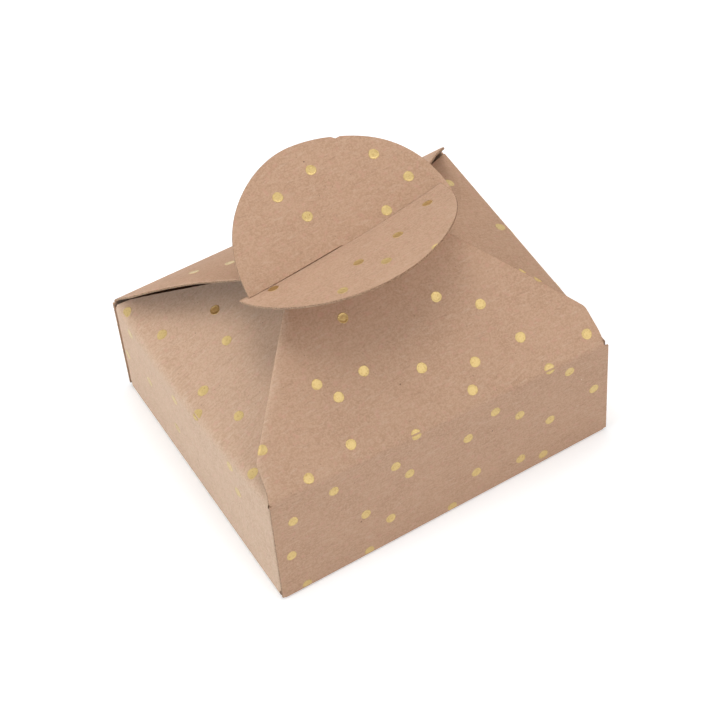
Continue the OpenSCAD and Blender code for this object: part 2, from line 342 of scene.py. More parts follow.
def perimeter(rows, columns):
    # places of a grid's border points in its flat list, once round, anticlockwise in u and v
    index = np.arange(rows * columns).reshape(rows, columns)
    return np.concatenate([index[0, :-1], index[:-1, -1], index[-1, :0:-1], index[:0:-1, 0]])


def borderFlags(cut, rows, columns):
    # one flag per step round the border, in the perimeter's order: whether the die cut it
    lengths = {"low": columns - 1, "right": rows - 1, "high": columns - 1, "left": rows - 1}
    runs = {name: np.broadcast_to(np.asarray(cut.get(name, False)), count) for name, count in lengths.items()}
    return np.concatenate([runs["low"], runs["right"], runs["high"][::-1], runs["left"][::-1]])


def cardShell(sheet, u, v, cut=(), thickness=None, lift=0.0, lean=0.0):
    # a closed slab: the surface plus and minus half the thickness along its normal, joined round the border.
    # Borders named in cut are die-cut edges: they get a soft edge and the second material.
    # cut holds low and high for the first and last v, left and right for u, as True or one flag per edge.
    # lift moves the slab outwards, and lean draws its outer face past the low border, in mm.
    cut = dict.fromkeys(cut, True) if isinstance(cut, tuple) else cut
    half = (thickness or card["thickness"]) / 2
    rounding = min(card["edgeRounding"], half * card["roundingShare"])
    rows, columns = u.shape
    middle = sheet["surface"](u, v).reshape(-1, 3)
    normal = sheetNormals(sheet["surface"], u, v).reshape(-1, 3)
    outward = sheet["outer"]
    middle = middle + normal * outward * lift
    border = perimeter(rows, columns)
    count = len(border)
    flags = borderFlags(cut, rows, columns)
    rim, rimNormal = middle[border], normal[border]
    along = np.roll(rim, -1, axis=0) - rim
    edgeNormal = (rimNormal + np.roll(rimNormal, -1, axis=0)) / 2
    away = np.cross(along, edgeNormal)
    least, nearNone = 1e-9, 1e-6  # the least length that divides, and the one below which nothing is cut
    away = away / np.maximum(np.linalg.norm(away, axis=1, keepdims=True), least) * flags[:, None]
    away = away + np.roll(away, 1, axis=0)
    size = np.linalg.norm(away, axis=1, keepdims=True)
    cutHere = size > nearNone
    away = np.where(cutHere, away / np.maximum(size, least), 0)
    flank = half - rounding * cutHere
    leaning = lean * (np.arange(count) < columns)[:, None]
    above = rim + rimNormal * flank + away * (rounding + leaning * (outward > 0))
    below = rim - rimNormal * flank + away * (rounding + leaning * (outward < 0))
    upper, lower = middle + normal * half, middle - normal * half
    points = np.concatenate([upper, lower, above, below])
    total = rows * columns
    cells = np.arange(total).reshape(rows, columns)
    quads = np.stack([cells[:-1, :-1], cells[:-1, 1:], cells[1:, 1:], cells[1:, :-1]], axis=-1)
    quads = quads.reshape(-1, 4)
    loop, nextOne = np.arange(count), np.roll(np.arange(count), -1)
    levels = [border, 2 * total + loop, 2 * total + count + loop, total + border]
    bands = [
        np.stack([low[loop], high[loop], high[nextOne], low[nextOne]], axis=-1)
        for low, high in zip(levels, levels[1:])
    ]
    faces = np.concatenate([quads, quads[:, ::-1] + total, *bands])
    kinds = np.concatenate([np.zeros(2 * len(quads), int), np.tile(flags.astype(int), len(bands))])
    blankU, blankV = sheet["blank"](u, v)
    place = np.stack([blankU.ravel(), blankV.ravel(), np.zeros(total)], axis=-1)
    side = np.array([0, 0, half])
    places = np.concatenate([place + side * outward, place - side * outward, place[border], place[border]])
    return {"points": points, "faces": faces, "kinds": kinds, "places": places}


def placed(name, data):
    # a new object at the origin that shows this data
    thing = bpy.data.objects.new(name, data)
    bpy.context.scene.collection.objects.link(thing)
    return thing


def shadeSmooth(mesh, sharpTurn):
    # soft shading, apart from edges that turn by more than these degrees
    mesh.polygons.foreach_set("use_smooth", np.ones(len(mesh.polygons), bool))
    mesh.set_sharp_from_angle(angle=math.radians(sharpTurn))


def makePiece(name, shells, materials, slot, nodes, body=None, blend=None):
    # joins closed shells into one mesh, merges doubled points, and hands it to its body
    starts = np.cumsum([0] + [len(s["points"]) for s in shells[:-1]])
    points = np.concatenate([s["points"] for s in shells]) * mm
    faces = np.concatenate([s["faces"] + start for s, start in zip(shells, starts)])
    mesh = bpy.data.meshes.new(name)
    mesh.from_pydata(points.tolist(), [], faces.tolist())
    mesh.polygons.foreach_set("material_index", np.concatenate([s["kinds"] for s in shells]))
    place = mesh.attributes.new("blankPlace", "FLOAT_VECTOR", "POINT")
    place.data.foreach_set("vector", (np.concatenate([s["places"] for s in shells]) * mm).ravel())
    shape = bmesh.new()
    shape.from_mesh(mesh)
    bmesh.ops.remove_doubles(shape, verts=shape.verts, dist=card["mergeReach"] * mm)
    shape.to_mesh(mesh)
    shape.free()
    shadeSmooth(mesh, card["sharpTurn"])
    piece = placed(name, mesh)
    for material in materials:
        mesh.materials.append(material)
    if body:
        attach(piece, body)
    else:
        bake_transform(piece)
    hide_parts(*nodes)


def span(start, end):
    # evenly spaced values, no further apart than the grid's step
    return np.linspace(start, end, max(2, int(math.ceil(abs(end - start) / card["gridStep"])) + 1))


# Materials
colours = {  # sRGB
    "kraftMid": "#bd987c", "kraftLight": "#c8a48a", "kraftDark": "#b69175", "kraftWarm": "#c89984",
    "fibrePale": "#d4b9a3", "fibreBrown": "#94725a",
    "poreDark": "#7c5c48", "fleckDark": "#553c2c", "fleckPale": "#eadbcb",
    # tones of the cut edge, darkened as painted shade; the paler one also tints the glue
    "cutPale": "#b39074", "cutShadeBrown": "#84634c",
    "foil": "#cbb17a", "foilWorn": "#ab8850",
    "glue": "#e9e3d2",
    "floor": "#f4f4f4", "floorPale": "#f7f7f7",
}


def linear(hexColour):
    # c / 12.92 below 0.04045, otherwise ((c + 0.055) / 1.055)^2.4
    parts = [int(hexColour[i:i + 2], 16) / 255 for i in (1, 3, 5)]
    return tuple(c / 12.92 if c <= 0.04045 else ((c + 0.055) / 1.055) ** 2.4 for c in parts) + (1.0,)


shades = {name: linear(code) for name, code in colours.items()}


def addNode(tree, kind, inputs=None, **settings):
    # one node, its settings, and for each input a value or the output that feeds it
    node = tree.nodes.new(kind)
    for name, value in settings.items():
        setattr(node, name, value)
    for name, value in (inputs or {}).items():
        if isinstance(value, bpy.types.NodeSocket):
            tree.links.new(value, node.inputs[name])
        else:
            node.inputs[name].default_value = value
    return node


def newMaterial(name):
    # an empty node material
    material = bpy.data.materials.new(name)
    material.use_nodes = True
    material.node_tree.nodes.clear()
    return material, material.node_tree


def shaded(tree, inputs):
    # a principled shader with these inputs, joined to the material's output
    shader = addNode(tree, "ShaderNodeBsdfPrincipled", inputs)
    addNode(tree, "ShaderNodeOutputMaterial", {"Surface": shader.outputs[0]})


def objectPlace(tree):
    # the place on the piece, in metres
    return addNode(tree, "ShaderNodeTexCoord").outputs["Object"]


def noisy(tree, place, size, detail=2.0, roughness=0.5):
    # a noise whose spots lie about size mm apart: its outputs, a value and a colour
    return addNode(tree, "ShaderNodeTexNoise", {
        "Vector": place, "Scale": 1 / (size * mm), "Detail": detail, "Roughness": roughness,
    }).outputs


def bumped(tree, height, depth):
    # the normal of a relief that is depth mm deep
    bump = addNode(tree, "ShaderNodeBump", {"Height": height, "Distance": depth * mm, "Strength": 1.0})
    return bump.outputs[0]


def ramped(tree, value, low, high, top=1.0):
    # 0 below low, top above high, smooth between
    ramp = {0: value, 1: low, 2: high, 3: 0.0, 4: top}
    return addNode(tree, "ShaderNodeMapRange", ramp, interpolation_type="SMOOTHSTEP").outputs[0]


def mixed(tree, amount, first, second):
    # (1 - amount) first + amount second
    node = addNode(tree, "ShaderNodeMix", {0: amount, 6: first, 7: second}, data_type="RGBA")
    return node.outputs[2]


def reckoned(tree, operation, first, second):
    # two values joined by an operation
    return addNode(tree, "ShaderNodeMath", {0: first, 1: second}, operation=operation).outputs[0]


kraftGrain = {  # sizes in mm
    "roughness": 0.85, "bump": 0.03,
    "sheen": 0.08, "sheenRoughness": 0.5, "specular": 0.25,
    "fibreWidth": 0.25, "fibreLength": 1.6,  # real fibres are 0.03 wide, drawn as wide as shows
    "fibreAmount": 0.2, "fibreDetail": 1.0,
    "fibreCurl": (4.0, 1.6),  # distance over which a fibre bends, and by how much
    "jag": (0.5, 0.2),  # the same for the outline of a speck
    "speckChance": 0.45,  # cells with a lower number of their own hold no speck
}
kraftShades = {  # size in mm, detail and roughness of a noise, where in it a shade comes up, and its amount
    "kraftMid": ((9.0, 2.0, 0.6), (0.28, 0.72, 1.0)),  # clouds where the pulp lay thicker
    "kraftLight": ((0.42, 3.0, 0.6), (0.36, 0.62, 0.82)),  # a fine mottle
    "kraftWarm": ((1.4, 2.0, 0.6), (0.54, 0.72, 0.5)),  # warmer spots
}
fibreLays = (  # turn in radians, shade, and the noise values between which a fibre comes up
    (0.35, "fibrePale", 0.60, 0.74), (-0.9, "fibreBrown", 0.62, 0.78), (1.5, "fibrePale", 0.61, 0.76),
    (2.3, "fibreBrown", 0.62, 0.78), (-0.2, "fibrePale", 0.62, 0.76), (0.95, "fibreBrown", 0.63, 0.78),
)
specks = (  # spacing and size in mm, shade and amount
    (1.3, 0.14, "poreDark", 0.5), (4.5, 0.2, "fleckDark", 0.75), (13.0, 0.2, "fleckPale", 0.9),
)


def warped(tree, place, size, amount):
    # the place, moved about by a noise of this size, in mm
    noise = noisy(tree, place, size)["Color"]
    shift = addNode(tree, "ShaderNodeVectorMath", {0: noise, "Scale": amount * mm}, operation="SCALE")
    return addNode(tree, "ShaderNodeVectorMath", {0: place, 1: shift.outputs[0]}, operation="ADD").outputs[0]


def kraftBoard():
    # uncoated natural kraft board: a matt, slightly pink brown with a fine even mottle, short soft fibres
    # paler and darker than the ground, pores, a few specks of bark, and a faint tooth that breaks up the
    # light. Its pattern lies on the flat blank, so it runs through the creases
    material, tree = newMaterial("uncoated_kraft_board")
    grain = kraftGrain
    place = addNode(tree, "ShaderNodeAttribute", attribute_name="blankPlace").outputs["Vector"]
    colour = shades["kraftDark"]
    noises = {}
    for shade, (spots, ramp) in kraftShades.items():
        noises[shade] = noisy(tree, place, *spots)["Fac"]
        colour = mixed(tree, ramped(tree, noises[shade], *ramp), colour, shades[shade])
    relief = noises["kraftLight"]
    wavy = warped(tree, place, *grain["fibreCurl"])
    stretch = grain["fibreWidth"] / grain["fibreLength"]
    for turn, shade, low, high in fibreLays:
        lay = addNode(tree, "ShaderNodeMapping", {
            "Vector": wavy, "Rotation": (0.0, 0.0, turn), "Scale": (stretch, 1.0, 1.0),
        })
        fibre = noisy(tree, lay.outputs[0], grain["fibreWidth"] * 2, grain["fibreDetail"])["Fac"]
        strand = ramped(tree, fibre, low, high, grain["fibreAmount"])
        colour = mixed(tree, strand, colour, shades[shade])
        relief = reckoned(tree, "ADD", relief, strand)
    jagged = warped(tree, place, *grain["jag"])
    for spacing, size, shade, amount in specks:
        cells = addNode(tree, "ShaderNodeTexVoronoi", {"Vector": jagged, "Scale": 1 / (spacing * mm)})
        chance = addNode(tree, "ShaderNodeSeparateColor", {"Color": cells.outputs["Color"]}).outputs[0]
        reach = ramped(tree, chance, grain["speckChance"], 1.0, size / spacing)
        speck = reckoned(tree, "LESS_THAN", cells.outputs["Distance"], reach)
        speck = reckoned(tree, "MULTIPLY", speck, amount)
        colour = mixed(tree, speck, colour, shades[shade])
    shaded(tree, {
        "Base Color": colour, "Roughness": grain["roughness"], "Normal": bumped(tree, relief, grain["bump"]),
        "Sheen Weight": grain["sheen"], "Sheen Roughness": grain["sheenRoughness"],
        "Specular IOR Level": grain["specular"],
    })
    return material


edgeGrain = {  # sizes in mm
    "ply": (0.35, 3.0, 0.7), "bump": 0.06,
    "layers": (0.35, 0.65),  # the noise values between which a pale layer comes up
    "roughness": 0.9, "specular": 0.3,
}


def cutCardEdge():
    # die-cut edge of the board: dry, in fine layers along the cut, and browner than the face, partly as its
    # loose ends shade each other and partly as painted shade: both tones are darkened to stand for the shade
    # it lies in
    material, tree = newMaterial("kraft_board_cut_edge_painted_shade")
    ply = noisy(tree, objectPlace(tree), *edgeGrain["ply"])["Fac"]
    layers = ramped(tree, ply, *edgeGrain["layers"])
    shaded(tree, {
        "Base Color": mixed(tree, layers, shades["cutShadeBrown"], shades["cutPale"]),
        "Roughness": edgeGrain["roughness"], "Normal": bumped(tree, ply, edgeGrain["bump"]),
        "Specular IOR Level": edgeGrain["specular"],
    })
    return material


foilGrain = {  # sizes in mm
    "tooth": (0.28, 3.0, 0.6), "bump": 0.035,
    "wear": (0.45, 4.0, 0.65),
    "worn": (0.50, 0.70, 0.75),  # where in that noise wear comes up, and its amount
    "roughness": (0.24, 0.42),  # where the tooth is low and high
}


def stampedFoil():
    # hot-stamped foil on uncoated board: pale gold with broad, grainy reflections, as the board's tooth shows
    # through it, and worn to a browner tone in small places
    material, tree = newMaterial("hot_stamped_gold_foil")
    place = objectPlace(tree)
    tooth = noisy(tree, place, *foilGrain["tooth"])["Fac"]
    wear = ramped(tree, noisy(tree, place, *foilGrain["wear"])["Fac"], *foilGrain["worn"])
    smoothest, roughest = foilGrain["roughness"]
    roughness = addNode(tree, "ShaderNodeMapRange", {0: tooth, 3: smoothest, 4: roughest}).outputs[0]
    shaded(tree, {
        "Base Color": mixed(tree, wear, shades["foil"], shades["foilWorn"]),
        "Metallic": 1.0, "Roughness": roughness, "Normal": bumped(tree, tooth, foilGrain["bump"]),
    })
    return material


glueGrain = {"cloud": (2.0, 3.0), "bump": 0.1, "roughness": 0.35}  # sizes in mm


def driedGlue():
    # dispersion glue dried to a thin film: ivory, half gloss, a little cloudy
    material, tree = newMaterial("dried_dispersion_glue")
    cloud = noisy(tree, objectPlace(tree), *glueGrain["cloud"])["Fac"]
    shaded(tree, {
        "Base Color": mixed(tree, cloud, shades["glue"], shades["cutPale"]),
        "Roughness": glueGrain["roughness"], "Normal": bumped(tree, cloud, glueGrain["bump"]),
    })
    return material


cardMaterials = [kraftBoard(), cutCardEdge()]
foil = stampedFoil()
glue = driedGlue()
print("materials ready")


# The tray: base, base creases, walls and corner tabs
def cardPiece(name, side, grid, cut, node, lean=0.0, **hold):
    # one slab of card on a side's sheet, in place of one CAD node
    shell = cardShell(sheets[side], *grid, cut, lean=lean)
    makePiece(name, [shell], cardMaterials, "kraft_card", [node], **hold)


def panel(half, rows):
    # an even grid of this half width on the given rows
    return np.meshgrid(span(-half, half), rows)


baseHalfX, baseHalfY = flatHigh.x / mm, flatHigh.y / mm
walls = {  # half length of the wall, of its base crease, and mm below the top where its flap's bend starts
    "front": (tray["halfWidth"], baseHalfX, closing["creaseReach"]),
    "back": (tray["halfWidth"], baseHalfX, closing["creaseReach"]),
    "left": (tray["sideHalf"], tray["sideHalf"], sideFlap["creaseReach"]["left"][0]),
    "right": (tray["sideHalf"], tray["sideHalf"], sideFlap["creaseReach"]["right"][0]),
}
baseGrid = panel(baseHalfX, span(-baseHalfY, baseHalfY))
cardPiece("basePanelCard", "base", baseGrid, (), "base_panel", body="tray")
for side, (wallHalf, creaseHalf, flapBend) in walls.items():
    rows = np.linspace(tray["foldRadius"] - bendLength, tray["foldRadius"], creaseRows["base"])
    grid = panel(creaseHalf, rows)
    cardPiece(side + "BaseCreaseCard", side, grid, ("left", "right"), side + "_base_crease", body="tray")
    grid = panel(wallHalf, span(tray["foldRadius"], top - flapBend))
    cardPiece(side + "WallCard", side, grid, ("left", "right"), side + "_wall", body="tray")

cornerTab = {
    "length": 13.0, "inset": 2.0, "slant": 3.0,
    "glueThickness": 0.1, "glueMargin": 1.5,
    "glueShare": 0.98,  # of the gap, which the glue fills without touching the cards
    "bendRows": 8, "columns": 18,
}


def cornerSheet(signX, signY):
    # in plan, a quarter circle off the end of the side wall, then straight behind the front or back wall
    centreX = tray["halfWidth"] - tray["foldRadius"]
    centreY = tray["sideHalf"]

    def surface(z, along):
        # c + r (cos t, sin t) round the bend, with t = along / r, then straight on along x
        turn = np.clip(along / bendRadius, 0, math.pi / 2)
        x = centreX + bendRadius * np.cos(turn) - np.maximum(along - bendLength, 0)
        y = centreY + bendRadius * np.sin(turn)
        return settled(signX * x, signY * y, z)

    def blank(z, along):
        # upright off the side wall, along the end of it
        return signX * (tray["halfWidth"] + z), signY * (tray["halfDepth"] + along)

    return {"surface": surface, "outer": -signX * signY, "blank": blank}


def cornerGrid(start, margin):
    # heights narrow evenly along the tab to the slant at its end
    along = np.unique(np.concatenate([
        np.linspace(0, bendLength, cornerTab["bendRows"]) if start == 0 else [start],
        span(max(start, bendLength), bendLength + cornerTab["length"] - margin),
    ]))
    share = np.clip((along - bendLength) / cornerTab["length"], 0, 1)
    low = cornerTab["inset"] + cornerTab["slant"] * share + margin
    across = np.linspace(0, 1, cornerTab["columns"])
    z = low[:, None] + (top - 2 * low)[:, None] * across
    return z, np.broadcast_to(along[:, None], z.shape)


glueShells = []
glueGap = (card["thickness"] + cornerTab["glueThickness"]) / 2
for frontBack, signY in (("front", -1), ("back", 1)):
    for leftRight, signX in (("left", -1), ("right", 1)):
        sheet = cornerSheet(signX, signY)
        shell = cardShell(sheet, *cornerGrid(0, 0), ("high", "left", "right"))
        name, node = frontBack + leftRight.title() + "CornerTabCard", f"{frontBack}_{leftRight}_corner_tab"
        makePiece(name, [shell], cardMaterials, "kraft_card", [node], body="tray")
        grid = cornerGrid(bendLength + cornerTab["glueMargin"], cornerTab["glueMargin"])
        film = cornerTab["glueThickness"] * cornerTab["glueShare"]
        glueShells.append(cardShell(sheet, *grid, (), film, glueGap))
makePiece("cornerGlueFilms", glueShells, [glue], "carton_glue", ["glue_films"], body="tray")
print("tray folded and glued")


# The flaps
def crossingRun(x, front):
    # where the sheets cross: (yaw d +- tilt / tan a) / 2 cos a past the flap's length, plus for the front one
    tilt = backTilt(x) / math.tan(crossSlope)
    yaw = backTwist["yaw"] * (x - crossingX)
    return flapLength + (tilt + yaw if front else yaw - tilt) / 2 / math.cos(crossSlope)


def slitSide(front):
    # the side of x on which this sheet is slit
    return -1 if front else 1


def slitEdge(x, front, offset):
    # the slit's edge: the crossing line plus or minus an offset, tapering to none over its last millimetre
    past = np.clip(slitSide(front) * (x - crossingX), 0, 1)
    return crossingRun(x, front) * smooth(past) + flapLength * (1 - smooth(past)) + offset * past


closingGrid = {
    "inner": (0.97, 57),  # share of the half width with even columns, and their number
    "outer": (0.983, 0.993, 1.0),  # shares with more columns for the rolled edge
    "bendRun": 6.0,  # mm before the crossing over which the rows bend to the slit
}


def closingFlapGrid(front, low):
    # rows of constant run whose ends lie on the outline; the last rows bend to the slit on its side
    outline = closingOutline
    runs = np.unique(np.concatenate([span(low, flapLength), outline[(outline[:, 1] > low), 1]]))
    half = np.interp(runs, outline[:, 1], outline[:, 0])
    inner, columns = closingGrid["inner"]
    outer = np.array(closingGrid["outer"])
    across = np.unique(np.concatenate([np.linspace(-inner, inner, columns), -outer, [0], outer]))
    x = half[:, None] * across
    x = x + crossingX * (1 - np.abs(across)) * smooth(runs / flapLength)[:, None]
    nearTop = smooth((runs - flapLength + closingGrid["bendRun"]) / closingGrid["bendRun"])[:, None]
    run = runs[:, None] + (slitEdge(x, front, -closing["slitOffset"]) - flapLength) * nearTop
    return x, run + top


tab = {
    "radius": 27.4,
    "centreBefore": 0.4,  # mm by which the centre lies before the crossing
    "centreX": {"front": -0.1, "back": -1.95},
    "nick": {"turn": 0.361, "depth": 0.5, "width": 0.022},  # left in the front tab's rim by the cutting die
    "flat": {"turn": 0.40, "depth": 0.65, "width": 0.36},  # the same rim, pressed flatter at its top
    "steps": 21,  # points along each side of a quarter disc
    "rimShare": 0.99,  # of the radius; a point past it lies on the rim
}


def tabRim(side, turn):
    # the radius, less d exp(-((turn - t) / w)^2) for each bite out of the front tab
    bites = [tab["nick"], tab["flat"]] if side == "front" else []
    return tab["radius"] - sum(b["depth"] * np.exp(-((turn - b["turn"]) / b["width"]) ** 2) for b in bites)


def quarterTabGrid(side, signX, slit):
    # a square bent to a quarter disc: x = r a sqrt(1 - b^2 / 2), y = r b sqrt(1 - a^2 / 2)
    front = side == "front"
    steps = np.linspace(0, 1, tab["steps"])
    a, b = np.meshgrid(steps, steps)
    if signX < 0:
        a = a[:, ::-1]
    shift = crossingX - tab["centreX"][side]
    across, up = a * np.sqrt(1 - b * b / 2), b * np.sqrt(1 - a * a / 2)
    rim = tabRim(side, np.arctan2(signX * across, up))
    inside = tab["radius"] - (tab["flat"]["depth"] if front else 0)
    radius = np.where(np.hypot(across, up) > tab["rimShare"], rim, inside)
    x = signX * radius * across + tab["centreX"][side] + shift * (1 - a) ** 2
    run = radius * up + flapLength - tab["centreBefore"]
    foot = slitEdge(x, front, closing["slitOffset"]) if slit else np.full_like(x, flapLength)
    run = run + (foot - flapLength + tab["centreBefore"]) * (1 - b) ** 2
    return x, run + top


def bendEnds(outward, hinge, below, inset, endDepth, endRise):
    # the places on the wall and on the flap between which a crease bends, in metres
    start = (outward[0] * hinge * mm, outward[1] * hinge * mm, (top - below + inset) * mm)
    depth = hinge - endDepth
    end = (outward[0] * depth * mm, outward[1] * depth * mm, (top + endRise) * mm)
    return start, end


bends = {}  # for each side, the two bodies and the two places between which its crease bends
for side, signY in (("front", -1), ("back", 1)):
    front = side == "front"
    body = side + "_closure"
    reach, inset = closing["creaseReach"], closing["bendInset"]
    depth, rise = float(bowDepth(reach - inset)), float(bowRise(reach - inset))
    bends[side] = ("tray", body, *bendEnds((0, signY), tray["hingeY"], reach, inset, depth, rise))
    rows = np.linspace(top - reach, top + reach, creaseRows["closing"])
    grid = panel(tray["halfWidth"] - closing["cornerInset"], rows)
    cut = ("left", "right")
    cardPiece(side + "FlapCreaseCard", side, grid, cut, side + "_flap_crease", blend=bends[side])
    grid = closingFlapGrid(front, reach)
    x = grid[0]
    slitSign = slitSide(front)
    held = slitSign * (x[-1, :-1] + x[-1, 1:]) / 2 < slitSign * crossingX
    cut = {"left": True, "right": True, "high": ~held}
    cardPiece(side + "FlapCard", side, grid, cut, side + "_flap", body=body)
    grid = quarterTabGrid(side, -slitSign, False)
    x = grid[0]
    outside = np.abs((x[0, :-1] + x[0, 1:]) / 2) > closing["neckHalf"]
    heldEdge, freeEdge = ("left", "right") if slitSign > 0 else ("right", "left")
    cut = {"low": outside, "high": True, heldEdge: True}
    cardPiece(side + "TabHeldHalfCard", side, grid, cut, side + "_tab_held_half", body=body)
    grid = quarterTabGrid(side, slitSign, True)
    cut = ("low", "high", freeEdge)
    lean = closing["slitLean"][side]
    cardPiece(side + "TabFreeHalfCard", side, grid, cut, side + "_tab_free_half", lean, body=body)
print("closing flaps and tabs hooked")


def sideFlapGrid(side, low):
    # half width narrows evenly with the run, and the tip's corners are rounded
    length = sideFlap["length"]
    crease, tip = sideCreaseHalf, sideCreaseHalf - sideNarrowing * length
    arc = roundedCorner((crease, 0), (tip, length), (0, length), min(sideFlap["tipRadius"], tip / 2))
    outline = np.vstack([[(crease, 0)], arc])
    runs = np.unique(np.concatenate([span(low, length), outline[outline[:, 1] > low, 1]]))
    half = np.interp(runs, outline[:, 1], outline[:, 0])
    relief = sideFlap["twistRelief"] * smooth(runs / length * sideFlap["reliefPace"]) if side == "left" else 0
    across = np.linspace(-1, 1, sideFlap["columns"])
    y = np.where(across > 0, (half - relief)[:, None], half[:, None]) * across
    return y, np.broadcast_to(runs[:, None], y.shape) + top


for side, signX in (("left", -1), ("right", 1)):
    body = side + "_side_flap"
    below, above = sideFlap["creaseReach"][side]
    inset = sideFlap["bendInset"]
    depth, rise = (above - inset) * math.cos(sideSlope), (above - inset) * math.sin(sideSlope)
    bends[side] = ("tray", body, *bendEnds((signX, 0), tray["hingeX"], below, inset, depth, rise))
    rows = np.linspace(top - below, top + above, creaseRows["side"])
    half = np.interp(rows, [top, top + above], [tray["sideHalf"], sideCreaseHalf - sideNarrowing * above])
    y = half[:, None] * np.linspace(-1, 1, sideFlap["columns"])
    grid = (y, np.broadcast_to(rows[:, None], y.shape))
    cut = ("left", "right")
    cardPiece(side + "FlapCreaseCard", side, grid, cut, side + "_flap_crease", blend=bends[side])
    cut = ("left", "right", "high")
    cardPiece(side + "FlapCard", side, sideFlapGrid(side, above), cut, side + "_flap", body=body)
print("side flaps laid in")

# Foil dots: each CAD dot's outline, redrawn as a pressed disc on its sheet
foilDot = {
    "segments": 32,
    "rings": (1.0, 0.96, 0.88, 0.76, 0.42),  # shares of the outline
    "heights": (-0.03, 0.045, 0.060, 0.010, 0.020),  # mm above the card, a raised rim round a pressed face
    "middle": 0.024,
    "ragged": (0.022, 0.014),  # share by which the outline wanders, three and seven times round
    "phase": (1.7, 2.3),  # radians by which that turns per mm of a dot's place
    "supportLines": 240, "leastSlant": 0.05,  # tangents, and the cosine below which a ray misses one
    "smallest": 0.25,  # mm; slivers narrower than this are left out
    "sharpTurn": 40,  # degrees
    "weldDigits": 4,  # decimals of a mm to which the CAD's points are joined
}


def splitIslands(points, triangles):
    # each point takes the lowest label among its triangles, again and again, until none changes
    label = np.arange(len(points))
    while True:
        lower = label.copy()
        np.minimum.at(lower, triangles, label[triangles].min(axis=1)[:, None])
        if (lower == label).all():
            return label
        label = lower


def meshPoints(mesh):
    # a CAD mesh's own points in mm, each once, and its triangles by their numbers
    points = np.empty(len(mesh.vertices) * 3)
    mesh.vertices.foreach_get("co", points)
    mesh.calc_loop_triangles()
    triangles = np.empty(len(mesh.loop_triangles) * 3, int)
    mesh.loop_triangles.foreach_get("vertices", triangles)
    points = np.round(points.reshape(-1, 3) / mm, foilDot["weldDigits"])
    points, twin = np.unique(points, axis=0, return_inverse=True)
    return points, twin.ravel()[triangles].reshape(-1, 3)


def flatPlace(points, node, side):
    # a sheet's own two lengths: the run is R (a0 - a) on a bowed flap, with the slope a at the place on its
    # circle, the way along the slope on a side flap, and the height on a wall
    x, y, z = points.T
    if side in ("front", "back"):
        inward = tray["hingeY"] + (y if side == "front" else -y)
        bowY = bowRadius * math.sin(creaseSlope) - inward
        bowZ = z - top + bowRadius * math.cos(creaseSlope)
        run = (creaseSlope - np.arctan2(bowY, bowZ)) * bowRadius
        u = x
    else:
        inward = tray["hingeX"] + (x if side == "left" else -x)
        run = inward * math.cos(sideSlope) + (z - top) * math.sin(sideSlope)
        u = y
    return np.stack([u, z if "wall" in node else top + run], axis=-1)


def dotOutlines(node, side):
    # the places of each CAD dot's points on its sheet, on a tab brought in to its rim where they lie past it
    points, triangles = meshPoints(frame["nodes"][node].data)
    places = flatPlace(points, node, side)
    if "tab" in node:
        middle = np.array([tab["centreX"][side], top + flapLength - tab["centreBefore"]])
        out = places - middle
        far = np.linalg.norm(out, axis=1)
        rim = tabRim(side, np.arctan2(out[:, 0], out[:, 1])) - card["edgeRounding"]
        places = middle + out * np.minimum(1, rim / far)[:, None]
    label = splitIslands(points, triangles)
    return [places[label == one] for one in np.unique(label)]


def rimReach(places, centre, angles):
    # a convex outline lies inside all its support lines, h(q) = max of (p - c) . (cos q, sin q),
    # so a ray at angle a leaves it at the least of h(q) / cos(a - q)
    lines = np.linspace(0, 2 * math.pi, foilDot["supportLines"], endpoint=False)
    support = ((places - centre) @ np.stack([np.cos(lines), np.sin(lines)])).max(axis=0)
    slant = np.cos(angles[:, None] - lines)
    least = foilDot["leastSlant"]
    return np.where(slant > least, support / np.maximum(slant, least), np.inf).min(axis=1)


def dotShell(sheet, places):
    # rings of points at shares of the outline's reach, r (1 + s (sin 3a - 1) + f (sin 7a - 1)), each lifted
    # along the sheet's normal, closed by a fan of triangles on top and below
    centre = (places.max(axis=0) + places.min(axis=0)) / 2
    count, rings = foilDot["segments"], len(foilDot["rings"])
    angles = np.linspace(0, 2 * math.pi, count, endpoint=False)
    reach = rimReach(places, centre, angles)
    start, (slow, fast) = centre @ foilDot["phase"], foilDot["ragged"]
    wander = slow * (np.sin(3 * angles + start) - 1) + fast * (np.sin(7 * angles - 2 * start) - 1)
    ray = np.stack([np.cos(angles), np.sin(angles)], axis=-1) * (reach * (1 + wander))[:, None]
    flat = np.concatenate([centre + ray * share for share in foilDot["rings"]] + [centre[None]] * 2)
    heights = np.repeat(foilDot["heights"], count)
    heights = np.concatenate([heights, [foilDot["middle"], foilDot["heights"][0]]])
    u, v = flat.T
    normal = sheetNormals(sheet["surface"], u, v) * sheet["outer"]
    points = sheet["surface"](u, v) + normal * (card["thickness"] / 2 + heights)[:, None]
    one = np.arange(count)
    after = np.roll(one, -1)
    faces = []
    for ring in range(rings - 1):
        low, high = ring * count, (ring + 1) * count
        faces += np.stack([one + low, after + low, after + high, one + high], axis=-1).tolist()
    inner, centreTop, centreBelow = (rings - 1) * count, rings * count, rings * count + 1
    faces += [[a, b, centreTop] for a, b in zip((one + inner).tolist(), (after + inner).tolist())]
    faces += [[b, a, centreBelow] for a, b in zip(one.tolist(), after.tolist())]
    if sheet["outer"] < 0:
        faces = [f[::-1] for f in faces]
    return points, faces


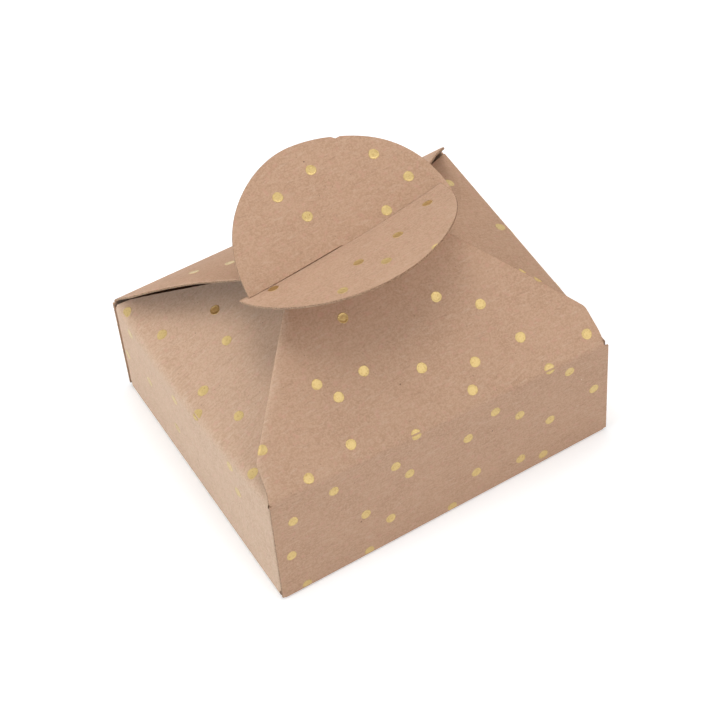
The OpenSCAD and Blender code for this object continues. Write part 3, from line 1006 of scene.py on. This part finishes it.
def dotPiece(name, side, node, body=None):
    # a panel's dots in one mesh; without a body they are baked where they stand
    sheet = sheets[side]
    points, faces = [], []
    for places in dotOutlines(node, side):
        if np.ptp(places, axis=0).min() < foilDot["smallest"]:
            continue
        shellPoints, shellFaces = dotShell(sheet, places)
        start = sum(len(p) for p in points)
        points.append(shellPoints)
        faces += [[i + start for i in f] for f in shellFaces]
    mesh = bpy.data.meshes.new(name)
    mesh.from_pydata((np.concatenate(points) * mm).tolist(), [], faces)
    shadeSmooth(mesh, foilDot["sharpTurn"])
    mesh.materials.append(foil)
    piece = placed(name, mesh)
    if body:
        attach(piece, body)
    else:
        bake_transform(piece)
    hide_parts(node)


for side in ("front", "back", "left", "right"):
    dotPiece(side + "WallFoilDots", side, side + "_wall_dots")
    dotPiece(side + "FlapFoilDots", side, side + "_flap_dots")
    if side in ("front", "back"):
        dotPiece(side + "TabFoilDots", side, side + "_tab_dots", side + "_closure")
print("foil dots stamped")

# Stage, light and camera
stage = {
    "floorHalf": 3.0,  # m
    "floorDrop": 0.0001,  # m by which the floor lies under the box
    "floorGlow": 0.3,  # of white, seen in the floor but lighting nothing
    "floorGrain": 25.0,  # mm
    "white": 1.0,
    "ambient": 0.02,
    "aim": (0.0, 0.0, 0.03),  # m, where the lamps point
}
# The foil mirrors the white room, and of the lamps only the dim ones
lamps = {  # place and size in m, power in W, colour, and whether the foil mirrors it
    "backLeftWindow": ((-0.639, 0.639, 0.294), 0.65, 3.75, (1.0, 0.90, 0.81), False),
    "frontRightSoftbox": ((0.432, -0.432, 0.728), 1.0, 2.8, (1.0, 0.985, 0.96), False),
    "overheadSoftbox": ((0.0, 0.0, 0.95), 0.36, 2.25, (1.0, 1.0, 1.0), False),
    "backSoftbox": ((0.0, 0.42, 0.85), 0.36, 1.6, (1.0, 1.0, 1.0), True),
    "rightSoftbox": ((0.45, 0.25, 0.80), 0.4, 0.9, (1.0, 1.0, 1.0), True),
    "leftSoftbox": ((-0.60, 0.0, 0.75), 0.4, 0.7, (1.0, 0.95, 0.85), True),
    "leftStrip": ((-0.93, -0.08, 0.15), 0.28, 6.2, (0.52, 0.79, 1.0), False),
    "frontCard": ((0.0, -0.90, 0.30), 0.5, 2.4, (1.0, 0.98, 1.0), False),
    "foilCard": ((0.28, -0.55, 0.72), 0.5, 0.55, (1.0, 1.0, 1.0), True),
}


def seenDirectly(tree):
    # 1 for a ray from the camera, a mirror or through glass, 0 for one that carries light
    path = addNode(tree, "ShaderNodeLightPath").outputs
    seen = reckoned(tree, "MAXIMUM", path["Is Camera Ray"], path["Is Glossy Ray"])
    return reckoned(tree, "MAXIMUM", seen, path["Is Transmission Ray"])


def floorMaterial():
    # a sweep of white paper: matt, all but even, bright enough to run into the white room, and still dark
    # where the box's soft shadow falls
    material, tree = newMaterial("pale_paper_sweep")
    grain = noisy(tree, objectPlace(tree), stage["floorGrain"])["Fac"]
    colour = mixed(tree, grain, shades["floor"], shades["floorPale"])
    diffuse = addNode(tree, "ShaderNodeBsdfDiffuse", {"Color": colour})
    strength = reckoned(tree, "MULTIPLY", seenDirectly(tree), stage["floorGlow"])
    glow = addNode(tree, "ShaderNodeEmission", {"Color": (1, 1, 1, 1), "Strength": strength})
    both = addNode(tree, "ShaderNodeAddShader", {0: diffuse.outputs[0], 1: glow.outputs[0]})
    addNode(tree, "ShaderNodeOutputMaterial", {"Surface": both.outputs[0]})
    return material


floorMesh = bpy.data.meshes.new("floorSweep")
far, under = stage["floorHalf"], -stage["floorDrop"]
floorCorners = [(-far, -far, under), (far, -far, under), (far, far, under), (-far, far, under)]
floorMesh.from_pydata(floorCorners, [], [(0, 1, 2, 3)])
floorMesh.materials.append(floorMaterial())
floorSweep = placed("floorSweep", floorMesh)

world = bpy.data.worlds.new("studioWhite")
bpy.context.scene.world = world
world.use_nodes = True
room = world.node_tree
room.nodes.clear()
level = {0: seenDirectly(room), 3: stage["ambient"], 4: stage["white"]}
level = addNode(room, "ShaderNodeMapRange", level).outputs[0]
sky = addNode(room, "ShaderNodeBackground", {"Color": (1, 1, 1, 1), "Strength": level})
addNode(room, "ShaderNodeOutputWorld", {"Surface": sky.outputs[0]})

for name, (place, size, power, colour, inFoil) in lamps.items():
    light = bpy.data.lights.new(name, "AREA")
    light.energy, light.size, light.color = power, size, colour
    holder = placed(name, light)
    holder.location = place
    holder.rotation_euler = (Vector(stage["aim"]) - Vector(place)).to_track_quat("-Z", "Y").to_euler()
    holder.visible_glossy = inFoil

# The camera as fitted to the tray's corners in the photograph
view = {
    "azimuth": -0.457326, "elevation": 0.836750, "roll": 0.093613,  # radians
    "distance": 797.198, "shift": (1.440487, -11.583291),  # mm
    "lens": 165.0, "sensor": 36.0,  # mm
    "clip": (0.01, 20.0),  # m
}
a, e, r = view["azimuth"], view["elevation"], view["roll"]
backwards = np.array([math.sin(a) * math.cos(e), -math.cos(a) * math.cos(e), math.sin(e)])
rightwards = np.array([math.cos(a), math.sin(a), 0.0])
upwards = np.cross(backwards, rightwards)
axes = np.stack([rightwards, upwards, backwards])
rolled = np.array([[math.cos(r), -math.sin(r), 0], [math.sin(r), math.cos(r), 0], [0, 0, 1]]) @ axes
eye = rolled.T @ np.array([-view["shift"][0], -view["shift"][1], view["distance"]]) * mm
lensData = bpy.data.cameras.new("studioCamera")
lensData.lens, lensData.sensor_width = view["lens"], view["sensor"]
lensData.clip_start, lensData.clip_end = view["clip"]
studioCamera = placed("studioCamera", lensData)
studioCamera.matrix_world = Matrix.Translation(Vector(eye)) @ Matrix(rolled.T.tolist()).to_4x4()
bpy.context.scene.camera = studioCamera
bpy.context.scene.view_settings.view_transform = "Standard"
print("stage lit, camera set")

bpy.context.view_layer.update()
